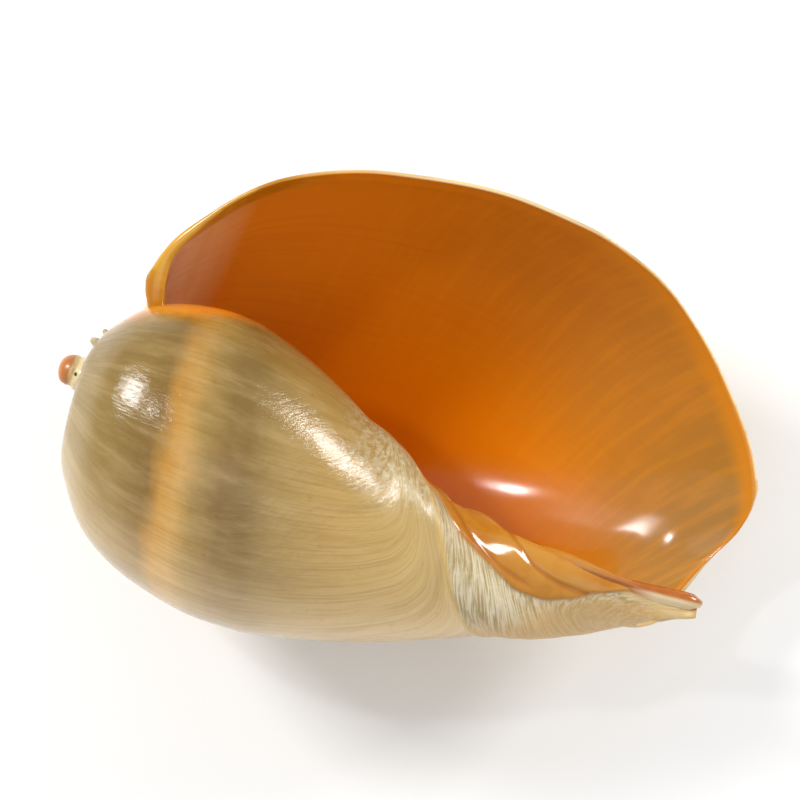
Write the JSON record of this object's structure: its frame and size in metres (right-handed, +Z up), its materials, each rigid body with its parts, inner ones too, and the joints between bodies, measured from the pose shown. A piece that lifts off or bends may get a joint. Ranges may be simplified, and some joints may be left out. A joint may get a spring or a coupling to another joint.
{
  "type": "melon shell",
  "caption": "Large melon (baler) sea shell lying on its back, aperture up: rounded body whorl, wide flared lip, folded columella, low crown of small spines round a dome.",
  "frame": {"origin": "centre of the bounding box in plan, at the height of the surface that the shell rests on", "axes": "+X from the spire towards the front end, +Y from the columella towards the outer lip, +Z up, out of the aperture"},
  "size_m": [0.2113, 0.1383, 0.115],
  "materials": {
    "shell": "natural shell, glossy outside with a polished orange inside"
  },
  "bodies": {
    "root": {"shell": "shell"}
  },
  "joints": []
}
